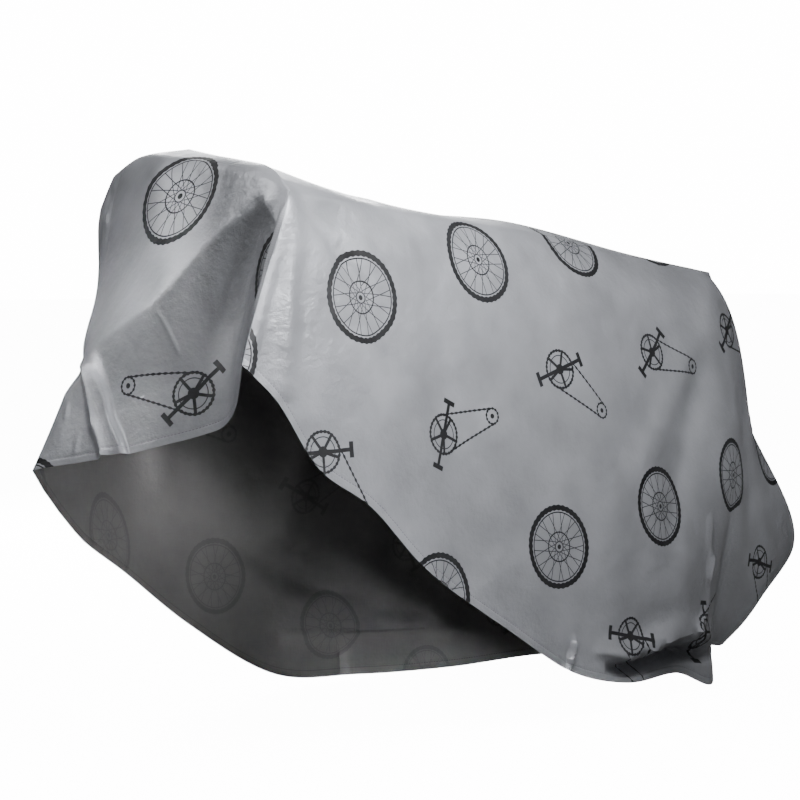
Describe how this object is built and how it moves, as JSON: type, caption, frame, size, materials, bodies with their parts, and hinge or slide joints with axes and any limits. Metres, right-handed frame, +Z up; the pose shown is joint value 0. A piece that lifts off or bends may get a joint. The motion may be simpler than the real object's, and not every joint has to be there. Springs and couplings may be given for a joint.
{
  "type": "bicycle cover",
  "caption": "Draped film cover for a bicycle, tent-shaped over handlebars and saddle, hollow and open below, with its front hem lifted.",
  "frame": {"origin": "middle of the cover's footprint, on the ground", "axes": "+X towards the tail of the cover, +Y away from the side whose front edge is lifted, +Z up"},
  "size_m": [1.9732, 0.7693, 1.145],
  "materials": {
    "film": "satin silver-grey PEVA film with a dark line print"
  },
  "bodies": {
    "root": {"cover_sheet": "film"}
  },
  "joints": []
}
